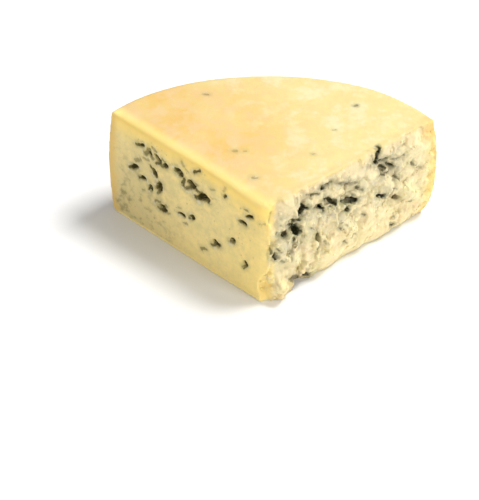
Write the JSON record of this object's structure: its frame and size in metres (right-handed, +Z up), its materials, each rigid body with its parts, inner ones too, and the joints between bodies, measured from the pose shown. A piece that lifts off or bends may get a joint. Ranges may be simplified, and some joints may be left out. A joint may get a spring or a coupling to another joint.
{
  "type": "blue cheese wedge",
  "caption": "Wedge of blue cheese from a small drum, with a smooth cut side, a crumbly broken side, mould-lined hollows and a yellow rind.",
  "frame": {"origin": "centre of the bounding box's base, on the surface that the wedge rests on", "axes": "+Z up; the wedge's tip points along -Y and its curved rind faces +Y, with the knife cut at -X and the break at +X"},
  "size_m": [0.146, 0.097, 0.0558],
  "materials": {
    "cheese": "soft satin, slightly oily"
  },
  "bodies": {
    "root": {"cheese_wedge": "cheese"}
  },
  "joints": []
}
